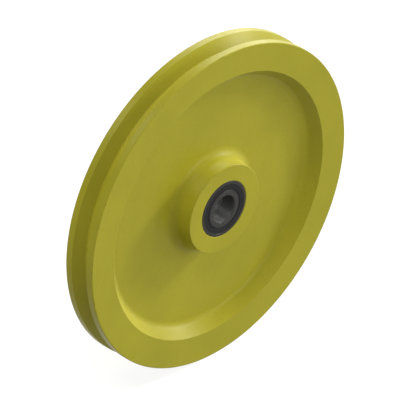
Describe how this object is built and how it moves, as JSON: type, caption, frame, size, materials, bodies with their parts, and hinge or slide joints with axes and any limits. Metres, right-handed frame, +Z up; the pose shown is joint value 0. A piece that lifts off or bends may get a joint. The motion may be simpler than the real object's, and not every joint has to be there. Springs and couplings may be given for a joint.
{
  "type": "sliding gate wheel",
  "caption": "Cast V-groove wheel for a sliding gate that runs on inverted-angle track, with sealed ball bearings in its hub and a sleeve between them.",
  "frame": {"origin": "the middle of the hub's bore, which is the wheel's centre", "axes": "+Z up, the axle along Y, and the face seen in the picture towards -Y"},
  "size_m": [0.3, 0.045, 0.3],
  "materials": {
    "painted_casting": "yellow enamel over a fine sand casting, satin",
    "turned_steel": "turned, bare",
    "bearing_steel": "ground, with a dark oil film",
    "darkened_steel": "ground, chemically darkened",
    "seal_rubber": "moulded, matt",
    "cage_steel": "pressed sheet",
    "ball_steel": "lapped, bright"
  },
  "bodies": {
    "axle_side": {"spacer_sleeve": "turned_steel", "front_inner_ring": "bearing_steel", "rear_inner_ring": "bearing_steel"},
    "wheel": {"wheel_body": "painted_casting", "front_outer_ring": "darkened_steel", "front_outboard_seal": "seal_rubber", "front_inboard_seal": "seal_rubber", "rear_outer_ring": "darkened_steel", "rear_outboard_seal": "seal_rubber", "rear_inboard_seal": "seal_rubber"},
    "front_cage": {"front_outboard_cage": "cage_steel", "front_inboard_cage": "cage_steel", "front_cage_rivets": "cage_steel"},
    "rear_cage": {"rear_outboard_cage": "cage_steel", "rear_inboard_cage": "cage_steel", "rear_cage_rivets": "cage_steel"},
    "front_ball_1": {"front_ball_1": "ball_steel"},
    "front_ball_2": {"front_ball_2": "ball_steel"},
    "front_ball_3": {"front_ball_3": "ball_steel"},
    "front_ball_4": {"front_ball_4": "ball_steel"},
    "front_ball_5": {"front_ball_5": "ball_steel"},
    "front_ball_6": {"front_ball_6": "ball_steel"},
    "front_ball_7": {"front_ball_7": "ball_steel"},
    "front_ball_8": {"front_ball_8": "ball_steel"},
    "front_ball_9": {"front_ball_9": "ball_steel"},
    "rear_ball_1": {"rear_ball_1": "ball_steel"},
    "rear_ball_2": {"rear_ball_2": "ball_steel"},
    "rear_ball_3": {"rear_ball_3": "ball_steel"},
    "rear_ball_4": {"rear_ball_4": "ball_steel"},
    "rear_ball_5": {"rear_ball_5": "ball_steel"},
    "rear_ball_6": {"rear_ball_6": "ball_steel"},
    "rear_ball_7": {"rear_ball_7": "ball_steel"},
    "rear_ball_8": {"rear_ball_8": "ball_steel"},
    "rear_ball_9": {"rear_ball_9": "ball_steel"}
  },
  "joints": [
    {"name": "wheel_spin", "type": "hinge", "parent": "axle_side", "child": "wheel", "pos_m": [0, 0, 0], "axis": [0, 1, 0], "continuous": true},
    {"name": "front_cage_orbit", "type": "hinge", "parent": "axle_side", "child": "front_cage", "pos_m": [0, -0.015, 0], "axis": [0, 1, 0], "continuous": true},
    {"name": "rear_cage_orbit", "type": "hinge", "parent": "axle_side", "child": "rear_cage", "pos_m": [0, 0.015, 0], "axis": [0, 1, 0], "continuous": true},
    {"name": "front_ball_1_roll", "type": "hinge", "parent": "front_cage", "child": "front_ball_1", "pos_m": [-0.01237, -0.015, 0.01475], "axis": [0, 1, 0], "continuous": true},
    {"name": "front_ball_2_roll", "type": "hinge", "parent": "front_cage", "child": "front_ball_2", "pos_m": [-0.01896, -0.015, 0.00334], "axis": [0, 1, 0], "continuous": true},
    {"name": "front_ball_3_roll", "type": "hinge", "parent": "front_cage", "child": "front_ball_3", "pos_m": [-0.01667, -0.015, -0.00962], "axis": [0, 1, 0], "continuous": true},
    {"name": "front_ball_4_roll", "type": "hinge", "parent": "front_cage", "child": "front_ball_4", "pos_m": [-0.00658, -0.015, -0.01809], "axis": [0, 1, 0], "continuous": true},
    {"name": "front_ball_5_roll", "type": "hinge", "parent": "front_cage", "child": "front_ball_5", "pos_m": [0.00658, -0.015, -0.01809], "axis": [0, 1, 0], "continuous": true},
    {"name": "front_ball_6_roll", "type": "hinge", "parent": "front_cage", "child": "front_ball_6", "pos_m": [0.01667, -0.015, -0.00962], "axis": [0, 1, 0], "continuous": true},
    {"name": "front_ball_7_roll", "type": "hinge", "parent": "front_cage", "child": "front_ball_7", "pos_m": [0.01896, -0.015, 0.00334], "axis": [0, 1, 0], "continuous": true},
    {"name": "front_ball_8_roll", "type": "hinge", "parent": "front_cage", "child": "front_ball_8", "pos_m": [0.01237, -0.015, 0.01475], "axis": [0, 1, 0], "continuous": true},
    {"name": "front_ball_9_roll", "type": "hinge", "parent": "front_cage", "child": "front_ball_9", "pos_m": [0, -0.015, 0.01925], "axis": [0, 1, 0], "continuous": true},
    {"name": "rear_ball_1_roll", "type": "hinge", "parent": "rear_cage", "child": "rear_ball_1", "pos_m": [-0.01237, 0.015, 0.01475], "axis": [0, 1, 0], "continuous": true},
    {"name": "rear_ball_2_roll", "type": "hinge", "parent": "rear_cage", "child": "rear_ball_2", "pos_m": [-0.01896, 0.015, 0.00334], "axis": [0, 1, 0], "continuous": true},
    {"name": "rear_ball_3_roll", "type": "hinge", "parent": "rear_cage", "child": "rear_ball_3", "pos_m": [-0.01667, 0.015, -0.00962], "axis": [0, 1, 0], "continuous": true},
    {"name": "rear_ball_4_roll", "type": "hinge", "parent": "rear_cage", "child": "rear_ball_4", "pos_m": [-0.00658, 0.015, -0.01809], "axis": [0, 1, 0], "continuous": true},
    {"name": "rear_ball_5_roll", "type": "hinge", "parent": "rear_cage", "child": "rear_ball_5", "pos_m": [0.00658, 0.015, -0.01809], "axis": [0, 1, 0], "continuous": true},
    {"name": "rear_ball_6_roll", "type": "hinge", "parent": "rear_cage", "child": "rear_ball_6", "pos_m": [0.01667, 0.015, -0.00962], "axis": [0, 1, 0], "continuous": true},
    {"name": "rear_ball_7_roll", "type": "hinge", "parent": "rear_cage", "child": "rear_ball_7", "pos_m": [0.01896, 0.015, 0.00334], "axis": [0, 1, 0], "continuous": true},
    {"name": "rear_ball_8_roll", "type": "hinge", "parent": "rear_cage", "child": "rear_ball_8", "pos_m": [0.01237, 0.015, 0.01475], "axis": [0, 1, 0], "continuous": true},
    {"name": "rear_ball_9_roll", "type": "hinge", "parent": "rear_cage", "child": "rear_ball_9", "pos_m": [0, 0.015, 0.01925], "axis": [0, 1, 0], "continuous": true}
  ],
  "couplings": [
    {"joint": "front_cage_orbit", "follows": "wheel_spin", "ratio": 0.60309},
    {"joint": "rear_cage_orbit", "follows": "wheel_spin", "ratio": 0.60309},
    {"joint": "front_ball_1_roll", "follows": "wheel_spin", "ratio": 2.322},
    {"joint": "front_ball_2_roll", "follows": "wheel_spin", "ratio": 2.322},
    {"joint": "front_ball_3_roll", "follows": "wheel_spin", "ratio": 2.322},
    {"joint": "front_ball_4_roll", "follows": "wheel_spin", "ratio": 2.322},
    {"joint": "front_ball_5_roll", "follows": "wheel_spin", "ratio": 2.322},
    {"joint": "front_ball_6_roll", "follows": "wheel_spin", "ratio": 2.322},
    {"joint": "front_ball_7_roll", "follows": "wheel_spin", "ratio": 2.322},
    {"joint": "front_ball_8_roll", "follows": "wheel_spin", "ratio": 2.322},
    {"joint": "front_ball_9_roll", "follows": "wheel_spin", "ratio": 2.322},
    {"joint": "rear_ball_1_roll", "follows": "wheel_spin", "ratio": 2.322},
    {"joint": "rear_ball_2_roll", "follows": "wheel_spin", "ratio": 2.322},
    {"joint": "rear_ball_3_roll", "follows": "wheel_spin", "ratio": 2.322},
    {"joint": "rear_ball_4_roll", "follows": "wheel_spin", "ratio": 2.322},
    {"joint": "rear_ball_5_roll", "follows": "wheel_spin", "ratio": 2.322},
    {"joint": "rear_ball_6_roll", "follows": "wheel_spin", "ratio": 2.322},
    {"joint": "rear_ball_7_roll", "follows": "wheel_spin", "ratio": 2.322},
    {"joint": "rear_ball_8_roll", "follows": "wheel_spin", "ratio": 2.322},
    {"joint": "rear_ball_9_roll", "follows": "wheel_spin", "ratio": 2.322}
  ]
}
